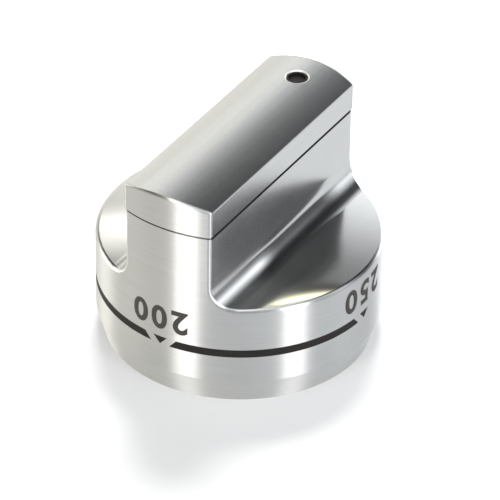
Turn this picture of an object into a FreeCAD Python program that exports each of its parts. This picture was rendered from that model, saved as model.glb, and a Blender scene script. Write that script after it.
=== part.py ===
import FreeCAD, Part
import math
import os

# Control knob of a kitchen range, in millimetres.
# +Z is the axis of the control shaft and points away from the appliance. The origin is the centre
# of the ring on which the knob's skirt rests. The grip runs along Y, with its indicator at +Y.
# Angles on the skirt are in degrees, from -Y towards +X.

# Skirt and thumb floors
body_diameter = 48.0
floor_height = 18.8
taper_height = 4.5
taper_inset = 1.35
rim_round = 0.65

# Grip and its cap
grip_width = 16.0
grip_height = 32.35
grip_foot_radius = 4.0
shadow_gap = 0.4
shadow_gap_depth = 0.6
cap_side_height = 4.75
cap_crown = 1.2
cap_overhang = 0.15
cap_corner_round = 0.6
cap_top_round = 0.4

# Casting walls
base_ring_width = 1.0
ceiling_thickness = 2.4
grip_wall = 2.5
web_thickness = 2.8
pocket_chamfer = 1.2

# Hub moulding
plate_recess = 2.0
plate_thickness = 2.4
plate_clearance = 0.15
collar_recess = 0.6
hub_wall = 2.2
hub_roof = 2.0
key_clearance = 0.15
key_wall = 1.6
key_end_gap = 6.0
key_engagement = 4.5
gusset_height = 8.0
gusset_reach = 7.5
gusset_thickness = 1.4
gusset_spacing = 15.0
rib_height = 1.0
rib_width = 1.2
rib_count = 8
rib_margin = 1.1

# Shaft socket
shaft_diameter = 6.0
shaft_clearance = 0.05
shaft_flat_offset = 1.5
mouth_chamfer = 0.4
lead_in_clearance = 0.25
lead_in_depth = 4.5
socket_depth = 16.0

# Grip spring in the socket's flat
spring_thickness = 0.35
spring_width = 3.2
spring_bow = 0.45
spring_slot_depth = 0.6
spring_slot_length = 9.6
spring_clearance = 0.1

# Fasteners
hub_screw_diameter = 3.0
hub_screw_length = 8.0
hub_boss_radius = 2.8
hub_boss_gap = 3.35
cap_screw_diameter = 3.0
cap_screw_length = 6.0
cap_screw_spacing = 22.0
tap_depth = 3.5
head_diameter_ratio = 1.8
head_height_ratio = 0.6
shank_clearance = 0.1
thread_clearance = 0.05
slot_width_ratio = 0.25
slot_depth_ratio = 0.3

# Indicator in the cap
indicator_setback = 6.1
indicator_diameter = 3.74
indicator_chamfer = 0.23
indicator_hole_depth = 2.6
indicator_recess = 0.25
indicator_dish_depth = 0.5
indicator_rim_width = 0.35

# Filled scale on the skirt
dial_bottom = 9.5
dial_height = 1.45
dial_depth = 0.12
dial_mark_angles = (-93.0, -1.5, 90.0)
mark_half_width = 1.3
gap_half_width_low = 1.75
gap_half_width_high = 3.0

# Sizes that follow from the ones above
body_radius = body_diameter / 2
base_radius = body_radius - taper_inset
mouth_radius = base_radius - base_ring_width
seat_z = plate_recess + plate_thickness
ceiling_z = floor_height - ceiling_thickness
grip_half = grip_width / 2
pocket_half = grip_half - grip_wall
cap_bottom = grip_height + shadow_gap
pocket_top = cap_bottom - web_thickness
cap_corner_z = cap_bottom + cap_side_height
cap_top = cap_corner_z + cap_crown
bore_radius = shaft_diameter / 2 + shaft_clearance
lead_in_radius = shaft_diameter / 2 + lead_in_clearance
hub_radius = bore_radius + hub_wall
socket_top = collar_recess + socket_depth
hub_top = socket_top + hub_roof
flat_y = shaft_flat_offset + shaft_clearance
flat_start = collar_recess + lead_in_depth
boss_x = mouth_radius - hub_boss_radius - hub_boss_gap
indicator_y = body_radius - indicator_setback
indicator_radius = indicator_diameter / 2
dial_top = dial_bottom + dial_height


def at(x, y, z):
    return FreeCAD.Vector(x, y, z)


def cylinder(radius, low, high, x=0.0, y=0.0):
    return Part.makeCylinder(radius, high - low, at(x, y, low))


def block(x_low, x_high, y_low, y_high, z_low, z_high):
    return Part.makeBox(x_high - x_low, y_high - y_low, z_high - z_low, at(x_low, y_low, z_low))


def turned(section):
    """Solid of revolution about Z, from (radius, z) corners, joined from two half turns."""
    corners = [at(radius, 0, z) for radius, z in section]
    profile = Part.Face(Part.makePolygon(corners + corners[:1]))
    half = profile.revolve(at(0, 0, 0), at(0, 0, 1), 180)
    other = half.copy()
    other.rotate(at(0, 0, 0), at(0, 0, 1), 180)
    return half.fuse(other)


def extruded(edges, path):
    return Part.Face(Part.Wire(edges)).extrude(path)


def polygon_prism(corners, path):
    return Part.Face(Part.makePolygon(corners + corners[:1])).extrude(path)


def line(start, end):
    return Part.LineSegment(start, end).toShape()


def edges_where(shape, test):
    return [edge for edge in shape.Edges if test(edge)]


def on_wall(edge, radius):
    """True where an edge lies on an upright cylinder about Z."""
    first, last = edge.ParameterRange
    places = [edge.valueAt(first + (last - first) * share) for share in (0.0, 0.3, 0.7, 1.0)]
    return all(abs(math.hypot(p.x, p.y) - radius) < 1e-3 for p in places)


def level(edge, z):
    return abs(edge.BoundBox.ZMin - z) < 1e-4 and abs(edge.BoundBox.ZMax - z) < 1e-4


def upright(edge, length):
    box = edge.BoundBox
    return box.XLength < 1e-4 and box.YLength < 1e-4 and box.ZLength > length


def grip_bar(half_width, radius, low, high):
    """Bar along Y whose two ends are parts of the round wall."""
    slab = block(-half_width, half_width, -radius - 1, radius + 1, low, high)
    return slab.common(cylinder(radius, low, high))


def grip_section():
    """Cross-section of floors and grip, in the XZ plane, with the hollow foot of the grip."""
    side = body_radius + 1
    foot = grip_half + grip_foot_radius
    shoulder = floor_height + grip_foot_radius
    middle = grip_foot_radius * (1 - math.sqrt(0.5))
    edges = [line(at(-side, 0, -1), at(side, 0, -1))]
    for sign in (1, -1):
        edges.append(line(at(sign * side, 0, -1), at(sign * side, 0, floor_height)))
        edges.append(line(at(sign * side, 0, floor_height), at(sign * foot, 0, floor_height)))
        curve = Part.Arc(
            at(sign * foot, 0, floor_height),
            at(sign * (grip_half + middle), 0, floor_height + middle),
            at(sign * grip_half, 0, shoulder),
        )
        edges.append(curve.toShape())
        edges.append(line(at(sign * grip_half, 0, shoulder), at(sign * grip_half, 0, grip_height)))
    edges.append(line(at(-grip_half, 0, grip_height), at(grip_half, 0, grip_height)))
    return Part.__sortEdges__(edges)


def outer_form():
    """Turned skirt with the two thumb floors cut away beside the grip, and its rounded edges."""
    form = turned(
        [
            (0, 0),
            (base_radius, 0),
            (body_radius, taper_height),
            (body_radius, grip_height),
            (0, grip_height),
        ]
    )
    depth = 2 * body_radius + 2
    bar = extruded(grip_section(), at(0, depth, 0))
    bar.translate(at(0, -depth / 2, 0))
    form = form.common(bar)

    def on_rim(edge):
        high = edge.BoundBox.ZMin > floor_height - 0.5
        return high and on_wall(edge, body_radius) and not level(edge, grip_height)

    return form.makeFillet(rim_round, edges_where(form, on_rim))


def pocket():
    """Hollow inside the grip, with its upper corners filled out."""
    hollow = grip_bar(pocket_half, mouth_radius, ceiling_z - 1, pocket_top)
    return hollow.makeChamfer(pocket_chamfer, edges_where(hollow, lambda e: level(e, pocket_top)))


def head_screw(diameter, length, seat, x, y):
    """Pan-head screw that points up and seats under its head, with a slot to turn it."""
    head_radius = diameter * head_diameter_ratio / 2
    head_height = diameter * head_height_ratio
    head = cylinder(head_radius, seat - head_height, seat, x, y)
    shank = cylinder(diameter / 2 - thread_clearance, seat - head_height / 2, seat + length, x, y)
    half = diameter * slot_width_ratio / 2
    low = seat - head_height - 1
    high = seat - head_height + diameter * slot_depth_ratio
    slot = block(x - head_radius - 1, x + head_radius + 1, y - half, y + half, low, high)
    return head.fuse(shank).cut(slot).removeSplitter()


def sides():
    return (-1, 1)


def scale_band(radius_in, radius_out):
    """Ring round the skirt at the height of the scale."""
    ring = cylinder(radius_out, dial_bottom, dial_top)
    return ring.cut(cylinder(radius_in, dial_bottom - 1, dial_top + 1))


def facing(angle, low_half, high_half):
    """Radial prism at an angle round the skirt, with one half-width below and one above."""
    corners = [
        at(-low_half, 0, dial_bottom),
        at(low_half, 0, dial_bottom),
        at(high_half, 0, dial_top),
        at(-high_half, 0, dial_top),
    ]
    if low_half == 0:
        corners = corners[1:]
    prism = polygon_prism(corners, at(0, -body_radius - 2, 0))
    prism.rotate(at(0, 0, 0), at(0, 0, 1), angle)
    return prism


def scale_sector():
    """The part of the circle between the first and the last mark."""
    first, last = dial_mark_angles[0], dial_mark_angles[-1]
    wedge = Part.makeCylinder(
        body_radius + 2, dial_top + 1, at(0, 0, 0), at(0, 0, 1), last - first
    )
    wedge.rotate(at(0, 0, 0), at(0, 0, 1), first - 90)
    return wedge


def scale_fill():
    """Colour that fills the shallow scale: an arrow at each mark and the bars between them."""
    ring = scale_band(body_radius - dial_depth, body_radius)
    bars = ring.common(scale_sector())
    for angle in dial_mark_angles:
        bars = bars.cut(facing(angle, gap_half_width_low, gap_half_width_high))
    arrows = [ring.common(facing(angle, 0, mark_half_width)) for angle in dial_mark_angles]
    return bars.Solids + [solid for arrow in arrows for solid in arrow.Solids]


def knob_body():
    """Cast skirt and grip in one piece, hollow underneath."""
    body = outer_form()
    land = grip_bar(
        grip_half - shadow_gap_depth, body_radius - shadow_gap_depth, grip_height - 1, cap_bottom
    )
    body = body.fuse(land)
    body = body.cut(cylinder(mouth_radius, -1, ceiling_z))
    body = body.cut(pocket())
    tapped_top = plate_recess + hub_screw_length + 0.5
    web_hole = cap_screw_diameter / 2 + shank_clearance
    for side in sides():
        x = side * boss_x
        y = side * cap_screw_spacing / 2
        body = body.fuse(cylinder(hub_boss_radius, seat_z, ceiling_z + 1, x))
        body = body.cut(cylinder(hub_screw_diameter / 2, seat_z - 1, tapped_top, x))
        body = body.cut(cylinder(web_hole, pocket_top - 1, cap_bottom + 1, 0, y))
    for solid in scale_fill():
        body = body.cut(solid)
    return body


def grip_cap():
    """Bar with a crowned top that closes the grip."""
    half = grip_half + cap_overhang
    cap = grip_bar(half, body_radius + cap_overhang, cap_bottom, cap_top + 1)
    crown = [
        line(at(-half, 0, cap_bottom - 1), at(half, 0, cap_bottom - 1)),
        line(at(half, 0, cap_bottom - 1), at(half, 0, cap_corner_z)),
        Part.Arc(at(half, 0, cap_corner_z), at(0, 0, cap_top), at(-half, 0, cap_corner_z)).toShape(),
        line(at(-half, 0, cap_corner_z), at(-half, 0, cap_bottom - 1)),
    ]
    depth = 2 * body_radius + 2
    bar = extruded(crown, at(0, depth, 0))
    bar.translate(at(0, -depth / 2, 0))
    cap = cap.common(bar)
    cap = cap.makeFillet(cap_corner_round, edges_where(cap, lambda e: upright(e, cap_side_height / 2)))
    upper = edges_where(cap, lambda e: e.BoundBox.ZMin > cap_corner_z - 0.05)
    cap = cap.makeFillet(cap_top_round, upper)
    cap = cap.cut(cylinder(indicator_radius, cap_top - indicator_hole_depth, cap_top + 1, 0, indicator_y))
    mouth = Part.makeCone(
        indicator_radius,
        indicator_radius + 2 * indicator_chamfer,
        2 * indicator_chamfer,
        at(0, indicator_y, cap_top - indicator_chamfer),
    )
    cap = cap.cut(mouth)
    for side in sides():
        y = side * cap_screw_spacing / 2
        cap = cap.cut(cylinder(cap_screw_diameter / 2, cap_bottom - 1, cap_bottom + tap_depth, 0, y))
    return cap


def indicator_plug():
    """Dark dished plug in the cap's indicator hole."""
    low = cap_top - indicator_hole_depth
    rim = cap_top - indicator_recess
    dish = indicator_radius - indicator_rim_width
    plug = turned(
        [
            (0, low),
            (indicator_radius, low),
            (indicator_radius, rim),
            (dish, rim),
            (dish, rim - indicator_dish_depth),
            (0, rim - indicator_dish_depth),
        ]
    )
    plug.translate(at(0, indicator_y, 0))
    return plug


def shaft_socket():
    """Hollow for the shaft: a mouth chamfer, a round lead-in, and a D-section beyond it."""
    lead_in = cylinder(lead_in_radius, collar_recess - 1, flat_start)
    mouth = Part.makeCone(
        lead_in_radius + mouth_chamfer, lead_in_radius, mouth_chamfer, at(0, 0, collar_recess)
    )
    deep = cylinder(bore_radius, flat_start - 1, socket_top)
    reach = bore_radius + 1
    flat = block(-reach, reach, flat_y, reach, flat_start, socket_top + 1)
    return lead_in.fuse(mouth).fuse(deep.cut(flat))


def spring_slot():
    """Slot behind the socket's flat in which the spring lies."""
    half = spring_width / 2 + spring_clearance
    middle = (flat_start + socket_top) / 2
    low = middle - spring_slot_length / 2
    return block(-half, half, 0, flat_y + spring_slot_depth, low, low + spring_slot_length)


def shaft_hub():
    """Moulded insert: plate, collar, socket tower, key box, gussets and ribs."""
    plate_radius = mouth_radius - plate_clearance
    key_half = pocket_half - key_clearance
    key_end = math.sqrt(mouth_radius**2 - key_half**2) - key_end_gap
    key_top = ceiling_z + key_engagement
    hub = cylinder(plate_radius, plate_recess, seat_z)
    box = block(-key_half, key_half, -key_end, key_end, seat_z - 1, key_top)
    inside = key_half - key_wall
    box = box.cut(block(-inside, inside, -key_end + key_wall, key_end - key_wall, seat_z, key_top + 1))
    hub = hub.fuse(box)
    hub = hub.fuse(cylinder(hub_radius, collar_recess, hub_top))
    for side in sides():
        for place in sides():
            y = place * gusset_spacing / 2
            corners = [
                at(side * inside, y - gusset_thickness / 2, seat_z - 0.5),
                at(side * (key_half + gusset_reach), y - gusset_thickness / 2, seat_z - 0.5),
                at(side * (key_half + gusset_reach), y - gusset_thickness / 2, seat_z),
                at(side * key_half, y - gusset_thickness / 2, seat_z + gusset_height),
                at(side * inside, y - gusset_thickness / 2, seat_z + gusset_height),
            ]
            hub = hub.fuse(polygon_prism(corners, at(0, gusset_thickness, 0)))
    for index in range(rib_count):
        rib = block(
            hub_radius - 0.5,
            plate_radius - rib_margin,
            -rib_width / 2,
            rib_width / 2,
            plate_recess - rib_height,
            plate_recess + 0.5,
        )
        rib.rotate(at(0, 0, 0), at(0, 0, 1), 360.0 * (index + 0.5) / rib_count)
        hub = hub.fuse(rib)
    for side in sides():
        hole = hub_screw_diameter / 2 + shank_clearance
        hub = hub.cut(cylinder(hole, 0, seat_z + 1, side * boss_x))
    return hub.cut(shaft_socket()).cut(spring_slot()).removeSplitter()


def shaft_spring():
    """Bowed strip of spring steel that presses the shaft's flat."""
    half = spring_slot_length / 2 - spring_clearance
    middle = (flat_start + socket_top) / 2
    back = flat_y + spring_slot_depth
    front = back - spring_thickness
    strip = [
        line(at(0, back, middle - half), at(0, front, middle - half)),
        Part.Arc(
            at(0, front, middle - half), at(0, front - spring_bow, middle), at(0, front, middle + half)
        ).toShape(),
        line(at(0, front, middle + half), at(0, back, middle + half)),
        Part.Arc(
            at(0, back, middle + half), at(0, back - spring_bow, middle), at(0, back, middle - half)
        ).toShape(),
    ]
    spring = extruded(strip, at(spring_width, 0, 0))
    spring.translate(at(-spring_width / 2, 0, 0))
    return spring


def hub_screws():
    return [
        head_screw(hub_screw_diameter, hub_screw_length, plate_recess, side * boss_x, 0)
        for side in sides()
    ]


def cap_screws():
    return [
        head_screw(cap_screw_diameter, cap_screw_length, pocket_top, 0, side * cap_screw_spacing / 2)
        for side in sides()
    ]


def save(name, shape):
    solids = shape if isinstance(shape, list) else shape.Solids
    whole = solids[0] if len(solids) == 1 else Part.makeCompound(solids)
    whole.exportStep("parts/" + name + ".step")
    print(name, len(solids), "solid(s)", "valid" if whole.isValid() else "INVALID", round(whole.Volume, 2))


os.makedirs("parts", exist_ok=True)
for piece in (
    knob_body,
    grip_cap,
    indicator_plug,
    shaft_hub,
    shaft_spring,
    hub_screws,
    cap_screws,
    scale_fill,
):
    save(piece.__name__, piece())
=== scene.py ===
import math

import bpy
from mathutils import Matrix, Vector


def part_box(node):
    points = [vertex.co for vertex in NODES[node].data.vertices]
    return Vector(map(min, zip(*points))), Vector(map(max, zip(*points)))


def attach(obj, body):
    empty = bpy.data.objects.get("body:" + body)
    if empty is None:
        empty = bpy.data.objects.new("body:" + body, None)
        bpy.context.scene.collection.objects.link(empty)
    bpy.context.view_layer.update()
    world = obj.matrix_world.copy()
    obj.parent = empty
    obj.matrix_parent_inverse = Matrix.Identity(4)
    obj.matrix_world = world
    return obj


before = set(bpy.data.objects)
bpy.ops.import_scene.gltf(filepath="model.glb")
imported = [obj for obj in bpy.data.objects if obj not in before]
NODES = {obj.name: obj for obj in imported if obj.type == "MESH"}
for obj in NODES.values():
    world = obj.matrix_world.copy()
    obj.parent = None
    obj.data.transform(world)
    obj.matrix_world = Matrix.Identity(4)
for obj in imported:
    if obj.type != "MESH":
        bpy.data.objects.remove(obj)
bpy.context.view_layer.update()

# A cooker's control knob: brushed skirt and grip, satin cap, dark indicator, dark dial with
# plain numbers, and the moulded hub, spring and screws underneath. Lengths are in metres.
# Angles round the skirt start at -Y and grow towards +X.

bl_info = {
    "name": "Control knob finish",
    "version": (1, 0, 0),
    "blender": (4, 5, 0),
    "location": "View3D > Sidebar > Knob",
    "description": "Finishes, dial numbers, light and camera for a brushed metal control knob",
    "category": "Object",
}

MM = 0.001

# Places on the knob

SKIRT_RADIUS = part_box("knob_body")[1].x
TAPER_TOP = 4.5 * MM
CAP_LOW, CAP_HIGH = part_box("grip_cap")
JOINT_LOW = CAP_LOW.z - 0.4 * MM
# How far the painted shade runs down the body below the joint on the long sides
PAINTED_SHADE_OVERLAP = 0.36 * MM
GRIP_ENDS = (21.8 * MM, 22.5 * MM)
PLUG_LOW, PLUG_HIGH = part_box("indicator_plug")
INDICATOR_Y = (PLUG_LOW.y + PLUG_HIGH.y) / 2
CHAMFER_RADIUS = (PLUG_HIGH.x - PLUG_LOW.x) / 2 + 0.3 * MM

# Brush marks and grain, as counts a metre along X, Y and Z

ROUND_FINE = (180.0, 180.0, 3600.0)
ROUND_WIDE = (60.0, 60.0, 1100.0)
ALONG_FINE = (2600.0, 150.0, 2600.0)
ALONG_WIDE = (900.0, 40.0, 900.0)
SATIN_FINE = (2600.0, 1900.0, 2600.0)
SATIN_CLOUD = (150.0, 90.0, 150.0)
PLATED_FINE = (5000.0, 5000.0, 900.0)

# Tones of the light

WHITE = (1.0, 1.0, 1.0, 1.0)
WARM = (1.0, 0.985, 0.9, 1.0)
COOL = (0.92, 0.96, 1.0, 1.0)
GOLD = (1.0, 0.97, 0.68, 1.0)

# Soft pale patches of the room: azimuth, elevation and spread in degrees, then brightness

PATCHES = (
    (0.0, 58.0, 12.0, 3.00),
    (0.0, 88.0, 14.0, 1.80),
    (50.0, 14.0, 10.0, 0.70),
    (80.0, 42.0, 10.0, 3.20),
    (118.0, 35.0, 8.0, 2.30),
    (120.0, 15.0, 9.0, 0.40),
    (131.0, 48.0, 7.0, 0.60),
    (143.0, 28.0, 6.0, 0.12),
    (165.0, 3.0, 8.0, 8.00),
    (182.0, 10.0, 9.0, 5.00),
    (195.0, 20.0, 8.0, 2.00),
    (204.0, 18.0, 7.0, 1.20),
    (211.0, 33.0, 6.0, 0.31),
    (218.0, 28.0, 6.0, 0.80),
    (224.0, 15.0, 7.0, 0.55),
    (228.0, 6.0, 9.0, 1.00),
    (230.0, 33.0, 4.0, 3.40),
    (250.0, 6.0, 9.0, 1.30),
    (274.0, 2.0, 8.0, 10.50),
    (305.0, 5.0, 10.0, 1.20),
    (328.0, 32.0, 10.0, 0.20),
)
GOLD_PATCH = (224.0, 60.0, 5.5, 3.20)

# Plain numbers of the dial, with their angles in degrees

DIAL_NUMBERS = (("150", -93.0), ("200", -1.9), ("250", 90.0), ("0", 123.0))
FIGURE_SHARE = 0.729  # height of a figure over the size of its font
STRIP = 0.5 * MM  # width of the strips that follow the round wall
CLEAR_OF_WALL = 3 * MM  # from the wall to the flat figures, before they are wrapped


# Properties that a user would change


def length(name, description, default):
    return bpy.props.FloatProperty(
        name=name, description=description, default=default, subtype="DISTANCE", unit="LENGTH", precision=5
    )


def degrees(name, description, default):
    return bpy.props.FloatProperty(
        name=name, description=description, default=math.radians(default), subtype="ANGLE", unit="ROTATION"
    )


def number(name, description, default):
    return bpy.props.FloatProperty(name=name, description=description, default=default, precision=3)


def share(name, description, default):
    return bpy.props.FloatProperty(
        name=name, description=description, default=default, min=0.0, max=1.0, subtype="FACTOR", precision=3
    )


def colour(name, description, default):
    return bpy.props.FloatVectorProperty(
        name=name, description=description, default=default, size=3, min=0.0, max=1.0, subtype="COLOR"
    )


# Shader building


class Value:
    """A socket that carries a number or a vector, with Python's operators on it."""

    def __init__(self, graph, socket):
        self.graph = graph
        self.socket = socket

    def _maths(self, operation, *values):
        return self.graph.node("ShaderNodeMath", {"operation": operation}, dict(enumerate(values)))

    def __add__(self, other):
        return self._maths("ADD", self, other)

    def __radd__(self, other):
        return self._maths("ADD", other, self)

    def __sub__(self, other):
        return self._maths("SUBTRACT", self, other)

    def __rsub__(self, other):
        return self._maths("SUBTRACT", other, self)

    def __mul__(self, other):
        return self._maths("MULTIPLY", self, other)

    def __rmul__(self, other):
        return self._maths("MULTIPLY", other, self)

    def __truediv__(self, other):
        return self._maths("DIVIDE", self, other)

    def __rtruediv__(self, other):
        return self._maths("DIVIDE", other, self)

    def __pow__(self, other):
        return self._maths("POWER", self, other)

    def __rpow__(self, other):
        return self._maths("POWER", other, self)

    def __abs__(self):
        return self._maths("ABSOLUTE", self)

    def root(self):
        return self._maths("SQRT", self)

    def larger(self, other):
        return self._maths("MAXIMUM", self, other)

    def ramp(self, start, end):
        """0 at start, 1 at end, with a smooth rise between them."""
        settings = {"interpolation_type": "SMOOTHSTEP"}
        values = {"Value": self, "From Min": start, "From Max": end, "To Min": 0.0, "To Max": 1.0}
        return self.graph.node("ShaderNodeMapRange", settings, values)


class Graph:
    """The nodes of one material or of the world."""

    def __init__(self, tree):
        self.tree = tree
        tree.nodes.clear()

    def node(self, kind, settings, values, output=0):
        """Adds a node. Its settings come first, then the value or link of each socket."""
        node = self.tree.nodes.new(kind)
        for name, value in settings.items():
            setattr(node, name, value)
        for name, value in values.items():
            if isinstance(value, Value):
                self.tree.links.new(value.socket, node.inputs[name])
            else:
                node.inputs[name].default_value = value
        return Value(self, node.outputs[output])

    def place(self):
        """Object coordinates, as a vector."""
        return self.node("ShaderNodeTexCoord", {}, {}, "Object")

    def split(self, vector):
        """The three parts of a vector."""
        first = self.node("ShaderNodeSeparateXYZ", {}, {"Vector": vector})
        node = first.socket.node
        return [Value(self, node.outputs[index]) for index in range(3)]

    def vector(self, operation, first, second=None, output=0):
        values = {0: first} if second is None else {0: first, 1: second}
        return self.node("ShaderNodeVectorMath", {"operation": operation}, values, output)

    def noise(self, counts, detail=2.0, roughness=0.6):
        """Noise from 0 to 1 on the object, with its counts a metre along X, Y and Z."""
        values = {
            "Vector": self.vector("MULTIPLY", self.place(), counts),
            "Scale": 1.0,
            "Detail": detail,
            "Roughness": roughness,
        }
        return self.node("ShaderNodeTexNoise", {"noise_dimensions": "3D"}, values)

    def cloud(self, count, roughness=0.5):
        """Soft noise from 0 to 1 that is the same every way."""
        return self.noise((count, count, count), 3.0, roughness)

    def mix_colour(self, factor, first, second, blend="MIX"):
        settings = {"data_type": "RGBA", "blend_type": blend}
        return self.node("ShaderNodeMix", settings, {0: factor, 6: first, 7: second}, 2)

    def tint(self, base, amount, pattern):
        """A colour that a pattern darkens and lightens by an amount."""
        low = [part * (1 - amount) for part in base]
        high = [min(part * (1 + amount), 1.0) for part in base]
        return self.mix_colour(pattern, (*low, 1.0), (*high, 1.0))

    def bump(self, height, distance):
        return self.node("ShaderNodeBump", {}, {"Height": height, "Distance": distance, "Strength": 1.0})

    def lean(self, normal, across, ahead, up):
        """A normal that leans a little along X, Y and Z."""
        tilt = self.node("ShaderNodeCombineXYZ", {}, {0: across, 1: ahead, 2: up})
        return self.vector("NORMALIZE", self.vector("ADD", normal, tilt))

    def surface(self, values):
        return self.node("ShaderNodeBsdfPrincipled", {}, values)

    def metal(self, colour, roughness, normal, brushing=0.0):
        """Bare metal, with highlights that brushing draws out across its lines."""
        values = {"Base Color": colour, "Metallic": 1.0, "Roughness": roughness, "Normal": normal}
        streaks = {"Anisotropic": brushing, "Anisotropic Rotation": 0.25}
        return self.surface({**values, **streaks})

    def mix_surface(self, factor, first, second):
        return self.node("ShaderNodeMixShader", {}, {0: factor, 1: first, 2: second})

    def finish(self, surface, kind="ShaderNodeOutputMaterial"):
        output = self.tree.nodes.new(kind)
        self.tree.links.new(surface.socket, output.inputs["Surface"])


def new_material(name, build):
    material = bpy.data.materials.new(name)
    material.use_nodes = True
    graph = Graph(material.node_tree)
    graph.finish(build(graph))
    return material


def coat_node(node, material):
    """Gives a CAD node its finish."""
    slots = NODES[node].data.materials
    slots.clear()
    slots.append(material)


# Finishes


def with_painted_joint_shade(graph, surface):
    """Paints shade into the fine joint between the body and the cap, and onto the body's edge just below
    it, most of all on the long sides.
    """
    x, y, z = graph.split(graph.place())
    ends = abs(y).ramp(*GRIP_ENDS)
    above_body = (z - JOINT_LOW + (1 - ends) * PAINTED_SHADE_OVERLAP).ramp(0, 0.06 * MM)
    below_cap = z.ramp(CAP_LOW.z + 0.04 * MM, CAP_LOW.z)
    # A dark, rough surface mixed in as painted shade over the joint and the body's edge below it
    dark = {"Base Color": (0.012, 0.012, 0.014, 1), "Roughness": 0.7, "Specular IOR Level": 0.15}
    return graph.mix_surface(above_body * below_cap * (1 - ends * 0.5), surface, graph.surface(dark))


def on_wall(graph):
    """1 on the turned wall and the grip's round ends, which lie at the skirt's radius."""
    x, y, z = graph.split(graph.place())
    return (x * x + y * y).root().ramp(SKIRT_RADIUS - 0.5 * MM, SKIRT_RADIUS - 0.15 * MM)


def turned_steel(graph, settings, lines, stripes):
    """Steel with fine brush lines round the axis, and stripes that vary its colour."""
    colour = graph.tint(settings.steel, settings.grain, stripes)
    roughness = settings.wall_roughness - 0.04 + lines * 0.08
    return graph.metal(colour, roughness, graph.bump(lines, settings.wall_depth), settings.brushing)


def polished(graph, normal, flatness, settings):
    """The normal with the slight lean that polishing gave the floors, the foot and the grip's sides."""
    x, y, z = graph.split(graph.place())
    upright = graph.split(normal)[2]
    level = upright.ramp(0.96, 1.0)
    # The floors fall away evenly towards their rim, the left one more than the right one.
    slope = x.ramp(-6 * MM, -12 * MM) * settings.left_polish + settings.polish
    dome = upright.ramp(0.85, 1.0) * slope / SKIRT_RADIUS
    # They also fall away at the far end, and the right one close to the front of its rim.
    far = level * y.ramp(-2 * MM, 18 * MM) * settings.far_polish
    reach = (x * x + y * y) / SKIRT_RADIUS ** 2
    front = y.ramp(-4 * MM, -13 * MM) * x.ramp(14 * MM, 16 * MM)
    rim = level * reach ** 5.0 * front * settings.rim_polish
    # The foot's fillet rolls over at both ends, on the left at the far end alone.
    foot = upright.ramp(0.97, 0.79) * upright.ramp(0.05, 0.35)
    foot_ends = y.ramp(8 * MM, 18 * MM) * 0.6 - y.ramp(-2 * MM, -12 * MM) * x.ramp(0, 5 * MM)
    ahead = y * dome + far + foot * foot_ends * settings.roll - rim
    return graph.lean(normal, x * dome, ahead, (1 - flatness) * settings.draft)


def brushed_steel(settings):
    """Steel brushed round the skirt, and along the grip on the floors and the grip's sides."""

    def build(graph):
        x, y, z = graph.split(graph.place())
        round_fine = graph.noise(ROUND_FINE)
        stripes = round_fine * 0.6 + graph.noise(ROUND_WIDE, roughness=0.5) * 0.4
        wall = turned_steel(graph, settings, round_fine, stripes)
        along_fine = graph.noise(ALONG_FINE)
        cloud = graph.cloud(120.0, 0.55)
        normal = graph.bump(along_fine, settings.floor_depth)
        flatness = abs(graph.split(normal)[2]).ramp(0.05, 0.35)
        worn = y.ramp(-7 * MM, -15 * MM) * x.ramp(18 * MM, 12 * MM) * settings.wear
        floor_roughness = worn + settings.floor_roughness
        roughness = flatness * (floor_roughness - settings.side_roughness) + settings.side_roughness
        flats = graph.metal(
            graph.tint(settings.steel, settings.grain * 0.7, along_fine * 0.5 + cloud * 0.5),
            roughness - 0.02 + cloud * 0.04,
            polished(graph, normal, flatness, settings),
        )
        on_taper = z.ramp(TAPER_TOP + 0.3 * MM, TAPER_TOP - 0.3 * MM)
        return with_painted_joint_shade(graph, graph.mix_surface(on_wall(graph).larger(on_taper), flats, wall))

    return new_material("brushed_metal", build)


def satin_steel(settings):
    """Steel with a fine satin along the cap, turned ends, and a paler colour on the chamfer round the
    indicator as a painted highlight.
    """

    def build(graph):
        x, y, z = graph.split(graph.place())
        round_fine = graph.noise(ROUND_FINE)
        ends = turned_steel(graph, settings, round_fine, round_fine)
        satin = graph.noise(SATIN_FINE)
        stripes = satin * 0.6 + graph.noise(ALONG_WIDE, roughness=0.5) * 0.4
        cloud = graph.noise(SATIN_CLOUD, 3.0, 0.55)
        upright = graph.split(graph.node("ShaderNodeNewGeometry", {}, {}, "Normal"))[2]
        crown = upright.ramp(0.3, 0.8)
        roughness = crown * (settings.cap_roughness - settings.side_roughness) + settings.side_roughness
        top = graph.metal(
            graph.tint(settings.steel, settings.grain, stripes),
            roughness - 0.03 + cloud * 0.02 + satin * 0.04,
            graph.bump(satin, settings.satin_depth),
        )
        beside = y - INDICATOR_Y
        from_indicator = (x * x + beside * beside).root()
        near_top = z.ramp(CAP_HIGH.z - 1 * MM, CAP_HIGH.z - 0.5 * MM)
        chamfer = from_indicator.ramp(CHAMFER_RADIUS, CHAMFER_RADIUS - 0.04 * MM) * near_top
        # The chamfer round the indicator gets a paler, rougher steel: a painted highlight ring
        painted_ring_highlight = graph.surface({"Base Color": (0.9, 0.9, 0.88, 1), "Metallic": 1.0, "Roughness": 0.55})
        metal = graph.mix_surface(on_wall(graph), top, ends)
        return with_painted_joint_shade(graph, graph.mix_surface(chamfer, metal, painted_ring_highlight))

    return new_material("satin_metal", build)


def moulded(name, base, roughness, depth, grain_size, shine=0.5):
    """Plastic or paint with a fine moulded grain, of a depth and size."""

    def build(graph):
        count = 1 / grain_size
        grains = graph.noise((count, count, count))
        cloud = graph.cloud(250.0)
        return graph.surface(
            {
                "Base Color": graph.tint(base, 0.25, cloud),
                "Roughness": roughness - 0.05 + cloud * 0.1,
                "Specular IOR Level": shine,
                "Normal": graph.bump(grains, depth),
            }
        )

    return new_material(name, build)


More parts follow.
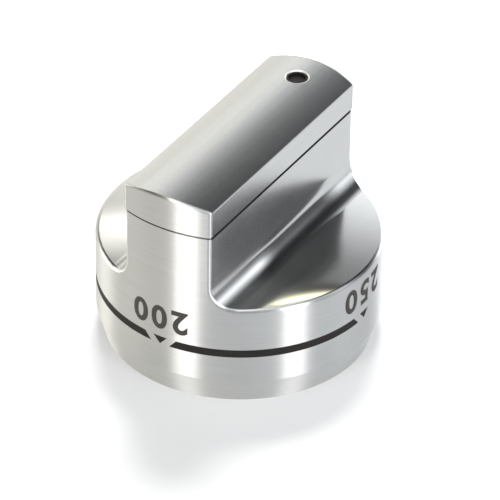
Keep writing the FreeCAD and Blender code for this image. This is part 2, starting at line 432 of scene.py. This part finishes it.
def plated(name, base, roughness):
    """Small steel parts: rolled spring strip and plated screws."""

    def build(graph):
        fine = graph.noise(PLATED_FINE, 3.0)
        cloud = graph.cloud(500.0)
        colour = graph.tint(base, 0.12, cloud)
        return graph.metal(colour, roughness - 0.06 + cloud * 0.12, graph.bump(fine, 0.002 * MM))

    return new_material(name, build)


# Settings


class MetalSettings(bpy.types.PropertyGroup):
    steel: colour("Steel", "Colour of the bare steel", (0.64, 0.638, 0.632))
    grain: share("Grain", "How much the brush lines vary the colour", 0.12)
    brushing: share("Brushing", "How strongly the turned wall is brushed one way", 1.0)
    wall_depth: length("Wall depth", "Depth of the wall's brush lines", 0.002 * MM)
    floor_depth: length("Floor depth", "Depth of the brush lines on the floors and the grip", 0.0002 * MM)
    satin_depth: length("Satin depth", "Depth of the cap's satin", 0.0008 * MM)
    wall_roughness: share("Wall roughness", "Roughness of the turned wall", 0.33)
    floor_roughness: share("Floor roughness", "Roughness of the thumb floors", 0.165)
    side_roughness: share("Side roughness", "Roughness of the sides of grip and cap", 0.22)
    cap_roughness: share("Cap roughness", "Roughness of the cap's top", 0.21)
    wear: share("Wear", "Roughness that is added where a thumb rubs the floors", 0.1)
    polish: number("Polish", "Slope of the thumb floors at their rim", 0.05)
    left_polish: number("Left polish", "Slope that is added at the rim of the left floor", 0.2)
    rim_polish: number("Rim polish", "Slope that is added close to the front of the rim", 0.42)
    far_polish: number("Far polish", "Slope of the floors towards their far end", 0.04)
    roll: number("Roll", "Slope of the grip's foot towards its ends", 0.2)
    draft: number("Draft", "Slope of the grip's sides", 0.05)


class SmallPartSettings(bpy.types.PropertyGroup):
    indicator: colour("Indicator", "Colour of the indicator plug", (0.012, 0.011, 0.01))
    hub: colour("Hub", "Colour of the moulded hub", (0.03, 0.03, 0.032))
    paint: colour("Dial paint", "Colour of the dial and its numbers", (0.014, 0.012, 0.011))
    spring: colour("Spring", "Colour of the spring strip", (0.55, 0.55, 0.57))
    screws: colour("Screws", "Colour of the plated screws", (0.6, 0.6, 0.58))


class NumberSettings(bpy.types.PropertyGroup):
    height: length("Height", "Height of a figure", 4.4 * MM)
    baseline: length("Baseline", "Height of the figures' feet above the base", 16.8 * MM)
    weight: length("Weight", "How much the strokes are thickened", 0.18 * MM)
    spacing: number("Spacing", "Space between the figures, as a share of the font's own", 1.25)
    thickness: length("Thickness", "Thickness of the printed film", 0.04 * MM)


class StageSettings(bpy.types.PropertyGroup):
    lens: number("Lens", "Focal length in millimetres on a 36 mm sensor", 311.2)
    distance: length("Distance", "From the camera to the point that it looks at", 0.72)
    azimuth: degrees("Azimuth", "Camera's angle round the knob", 30.81)
    elevation: degrees("Elevation", "Camera's angle above the table", 34.95)
    roll: degrees("Roll", "Camera's lean", 0.75)
    aim: length("Aim", "Height of the point that the camera looks at", 14.4 * MM)
    shift_x: number("Shift right", "Camera shift to the right", 0.0206)
    shift_y: number("Shift up", "Camera shift upwards", -0.003)
    floor_size: length("Floor size", "Side of the table", 3.0)
    floor: colour("Floor", "Colour of the table", (0.68, 0.68, 0.68))
    glow: share("Glow", "How much of the table is plain white to the camera", 0.25)
    mirrored: share("Mirrored", "Brightness of the table as the steel mirrors it", 0.9)
    mirror_share: share("Mirror share", "How much of the table is plain to the steel", 0.8)
    key_azimuth: degrees("Key azimuth", "Angle of the lamp behind the knob", 208.0)
    key_elevation: degrees("Key elevation", "Height of the lamp behind the knob", 55.0)
    key_distance: length("Key distance", "From the table's middle to the lamp", 0.8)
    key_size: length("Key size", "Width of the lamp", 0.3)
    key_energy: number("Key energy", "Power of the lamp in watts", 9.0)
    box_distance: length("Box distance", "From the knob's axis to the tall soft lamps", 0.9)
    box_width: length("Box width", "Width of a tall soft lamp", 0.28)
    box_height: length("Box height", "Height of a tall soft lamp", 0.6)
    left_azimuth: degrees("Left azimuth", "Angle of the left soft lamp round the knob", -7.6)
    left_radiance: number("Left radiance", "Brightness of the left soft lamp in a mirror", 8.2)
    left_tone: colour("Left tone", "Colour of the left soft lamp", (1.0, 0.99, 0.95))
    right_azimuth: degrees("Right azimuth", "Angle of the right soft lamp round the knob", 72.0)
    right_radiance: number("Right radiance", "Brightness of the right soft lamp in a mirror", 8.0)
    right_tone: colour("Right tone", "Colour of the right soft lamp", (1.0, 0.99, 0.96))


# Dial numbers


def outward(angle):
    """Level direction away from the knob's axis, at an angle round it."""
    return Vector((math.sin(angle), -math.cos(angle), 0.0))


def select_only(piece):
    """Leaves one object selected and active."""
    bpy.ops.object.select_all(action="DESELECT")
    piece.select_set(True)
    bpy.context.view_layer.objects.active = piece


def cut_upright(piece):
    """Cuts the flat figures into upright strips, so that they can follow the round wall."""
    select_only(piece)
    half = max(abs(vertex.co.x) for vertex in piece.data.vertices)
    bpy.ops.object.mode_set(mode="EDIT")
    place = STRIP - half
    while place < half:
        bpy.ops.mesh.select_all(action="SELECT")
        bpy.ops.mesh.bisect(plane_co=(place, 0, 0), plane_no=(1, 0, 0))
        place += STRIP
    bpy.ops.object.mode_set(mode="OBJECT")


def dial_number(text, angle, settings, paint):
    """One printed number, with its top towards the base, wrapped on the wall."""
    bpy.ops.object.select_all(action="DESELECT")
    bpy.ops.object.text_add(location=(0, 0, 0))
    piece = bpy.context.object
    piece.name = "dial_number_" + text
    figures = piece.data
    figures.body = text
    figures.align_x = "CENTER"
    figures.size = settings.height / FIGURE_SHARE
    figures.offset = settings.weight
    figures.space_character = settings.spacing
    bpy.ops.object.convert(target="MESH")
    piece = bpy.context.object
    cut_upright(piece)
    piece.rotation_euler = (math.radians(-90), 0, math.pi + angle)
    piece.location = outward(angle) * (SKIRT_RADIUS + CLEAR_OF_WALL) + Vector((0, 0, settings.baseline))
    wrap = piece.modifiers.new("wrap", "SHRINKWRAP")
    wrap.wrap_method = "PROJECT"
    wrap.target = NODES["knob_body"]
    wrap.use_project_z = True
    wrap.use_negative_direction = True
    wrap.use_positive_direction = False
    wrap.offset = settings.thickness / 2
    film = piece.modifiers.new("film", "SOLIDIFY")
    film.thickness = settings.thickness
    film.offset = -1.0
    select_only(piece)
    for modifier in ("wrap", "film"):
        bpy.ops.object.modifier_apply(modifier=modifier)
    bpy.ops.object.transform_apply(location=True, rotation=True, scale=True)
    piece.data.materials.clear()
    piece.data.materials.append(paint)
    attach(piece, "root")


# Stage


def bearing(azimuth, elevation):
    """Direction at an angle round the knob and an angle above the table."""
    return outward(azimuth) * math.cos(elevation) + Vector((0, 0, math.sin(elevation)))


def stand(name, data, place, turn):
    """Puts a lamp or the camera in the scene, with the back of its view along the turn's Z."""
    piece = bpy.data.objects.new(name, data)
    bpy.context.scene.collection.objects.link(piece)
    piece.matrix_world = Matrix.Translation(place) @ turn.to_4x4()
    return piece


def lamp(name, shape, width, watts, direction, place):
    """Soft lamp that faces back along its direction from the knob."""
    data = bpy.data.lights.new(name, "AREA")
    data.shape = shape
    data.size = width
    data.energy = watts
    return stand(name, data, place, direction.to_track_quat("Z", "Y").to_matrix())


def tall_box(name, azimuth, radiance, tone, settings):
    """Tall soft lamp that stands on the table, with its brightness as seen in a mirror."""
    width = settings.box_width
    height = settings.box_height
    direction = outward(azimuth)
    place = direction * settings.box_distance + Vector((0, 0, height / 2))
    piece = lamp(name, "RECTANGLE", width, radiance * math.pi * width * height, direction, place)
    piece.data.size_y = height
    piece.data.color = tone


def shadow_lamp(settings):
    """Lamp high behind the knob, which lights the table and isn't seen in the steel."""
    direction = bearing(settings.key_azimuth, settings.key_elevation)
    place = direction * settings.key_distance
    piece = lamp("shadow_lamp", "DISK", settings.key_size, settings.key_energy, direction, place)
    piece.visible_glossy = False


def set_camera(settings):
    camera = bpy.data.cameras.new("camera")
    camera.sensor_width = 36.0
    camera.lens = settings.lens
    camera.shift_x = settings.shift_x
    camera.shift_y = settings.shift_y
    camera.clip_start = 0.01
    camera.clip_end = 10.0
    back = bearing(settings.azimuth, settings.elevation)
    right = Vector((math.cos(settings.azimuth), math.sin(settings.azimuth), 0.0))
    leaning = right * math.cos(settings.roll) + back.cross(right) * math.sin(settings.roll)
    turn = Matrix((leaning, back.cross(leaning), back)).transposed()
    place = back * settings.distance + Vector((0, 0, settings.aim))
    bpy.context.scene.camera = stand("camera", camera, place, turn)


def soft_patch(graph, direction, azimuth, elevation, spread, brightness):
    """A pale patch of the room that fades away round its centre. Its angles are in degrees."""
    centre = bearing(math.radians(azimuth), math.radians(elevation))
    towards = graph.vector("DOT_PRODUCT", direction, centre, output=1)
    return math.e ** ((towards - 1) / math.radians(spread) ** 2) * brightness


def set_world():
    """Dim room with soft pale patches, warm on the left and cool on the right. The camera sees it white."""
    world = bpy.data.worlds.new("room")
    bpy.context.scene.world = world
    world.use_nodes = True
    graph = Graph(world.node_tree)
    direction = graph.node("ShaderNodeTexCoord", {}, {}, "Generated")
    light = gold = soft_patch(graph, direction, *GOLD_PATCH)
    for patch in PATCHES:
        light = light + soft_patch(graph, direction, *patch)
    warmth = graph.split(direction)[0].ramp(-0.2, -0.8)
    tone = graph.mix_colour(gold / (light + 0.001), graph.mix_colour(warmth, COOL, WARM), GOLD)
    view = graph.node("ShaderNodeLightPath", {}, {}, "Is Camera Ray")
    values = {"Color": graph.mix_colour(view, tone, WHITE), "Strength": light * (1 - view) + view}
    graph.finish(graph.node("ShaderNodeBackground", {}, values), "ShaderNodeOutputWorld")


def table_finish(settings):
    """Pale table that the camera and the steel see nearly white, with the knob's shadow on it. To the steel
    it glows with painted light, warm on the left and cool on the right.
    """

    def build(graph):
        floor = graph.tint(settings.floor, 0.01, graph.cloud(6.0))
        lit = graph.node("ShaderNodeBsdfDiffuse", {}, {"Color": floor})
        white = graph.node("ShaderNodeEmission", {}, {"Color": WHITE, "Strength": 1.0})
        # Painted light: the table's glow in the steel is warmer on the left and cooler on the right
        painted_light_coolness = graph.split(graph.place())[0].ramp(-20 * MM, 40 * MM)
        tone = graph.mix_colour(painted_light_coolness, WARM, COOL)
        mirrored = graph.node("ShaderNodeEmission", {}, {"Color": tone, "Strength": settings.mirrored})
        view = graph.node("ShaderNodeLightPath", {}, {}, "Is Camera Ray")
        mirror = graph.node("ShaderNodeLightPath", {}, {}, "Is Glossy Ray")
        through = graph.node("ShaderNodeLightPath", {}, {}, "Is Transmission Ray")
        seen = graph.mix_surface(view * settings.glow, lit, white)
        return graph.mix_surface((mirror + through) * settings.mirror_share, seen, mirrored)

    return new_material("table", build)


# Operators


class KNOB_OT_finish_metal(bpy.types.Operator):
    """Gives the body and the cap their steel"""

    bl_idname = "knob.finish_metal"
    bl_label = "Finish metal"

    def execute(self, context):
        settings = context.scene.knob_metal
        coat_node("knob_body", brushed_steel(settings))
        coat_node("grip_cap", satin_steel(settings))
        return {"FINISHED"}


class KNOB_OT_finish_small_parts(bpy.types.Operator):
    """Gives the plug, hub, spring, screws and dial their finish"""

    bl_idname = "knob.finish_small_parts"
    bl_label = "Finish small parts"

    def execute(self, context):
        settings = context.scene.knob_small_parts
        plug = moulded("black_plastic", settings.indicator, 0.5, 0.001 * MM, 0.3 * MM, 0.3)
        paint = moulded("scale_paint", settings.paint, 0.6, 0.002 * MM, 0.3 * MM, 0.2)
        screws = plated("screw_steel", settings.screws, 0.35)
        coat_node("indicator_plug", plug)
        coat_node("shaft_hub", moulded("hub_plastic", settings.hub, 0.5, 0.008 * MM, 0.25 * MM))
        coat_node("scale_fill", paint)
        coat_node("shaft_spring", plated("spring_steel", settings.spring, 0.25))
        coat_node("hub_screws", screws)
        coat_node("cap_screws", screws)
        return {"FINISHED"}


class KNOB_OT_print_numbers(bpy.types.Operator):
    """Prints the plain numbers of the dial"""

    bl_idname = "knob.print_numbers"
    bl_label = "Print numbers"

    def execute(self, context):
        paint = bpy.data.materials.get("scale_paint")
        if paint is None:
            raise RuntimeError("the dial paint is missing: finish the small parts first")
        for text, angle in DIAL_NUMBERS:
            dial_number(text, math.radians(angle), context.scene.knob_numbers, paint)
        return {"FINISHED"}


class KNOB_OT_set_stage(bpy.types.Operator):
    """Sets the table, the lamps, the room and the camera"""

    bl_idname = "knob.set_stage"
    bl_label = "Set stage"

    def execute(self, context):
        settings = context.scene.knob_stage
        bpy.ops.object.select_all(action="DESELECT")
        bpy.ops.mesh.primitive_plane_add(size=settings.floor_size, location=(0, 0, 0))
        table = context.object
        table.name = "table"
        table.data.materials.append(table_finish(settings))
        left = (settings.left_azimuth, settings.left_radiance, settings.left_tone)
        right = (settings.right_azimuth, settings.right_radiance, settings.right_tone)
        tall_box("front_left_box", *left, settings)
        tall_box("front_right_box", *right, settings)
        shadow_lamp(settings)
        set_world()
        set_camera(settings)
        context.scene.view_settings.view_transform = "Standard"
        return {"FINISHED"}


class KNOB_PT_panel(bpy.types.Panel):
    """Lists the knob's steps"""

    bl_idname = "KNOB_PT_panel"
    bl_label = "Control knob"
    bl_space_type = "VIEW_3D"
    bl_region_type = "UI"
    bl_category = "Knob"

    def draw(self, context):
        for operator in OPERATORS:
            self.layout.operator(operator.bl_idname)


OPERATORS = (KNOB_OT_finish_metal, KNOB_OT_finish_small_parts, KNOB_OT_print_numbers, KNOB_OT_set_stage)
GROUPS = {
    "knob_metal": MetalSettings,
    "knob_small_parts": SmallPartSettings,
    "knob_numbers": NumberSettings,
    "knob_stage": StageSettings,
}


def register():
    for kind in (*GROUPS.values(), *OPERATORS, KNOB_PT_panel):
        bpy.utils.register_class(kind)
    for name, group in GROUPS.items():
        setattr(bpy.types.Scene, name, bpy.props.PointerProperty(type=group))


def unregister():
    for name in GROUPS:
        delattr(bpy.types.Scene, name)
    for kind in (KNOB_PT_panel, *reversed(OPERATORS), *GROUPS.values()):
        bpy.utils.unregister_class(kind)


def main():
    register()
    bpy.ops.knob.finish_metal()
    bpy.ops.knob.finish_small_parts()
    bpy.ops.knob.print_numbers()
    bpy.ops.knob.set_stage()


if __name__ == "__main__":
    main()
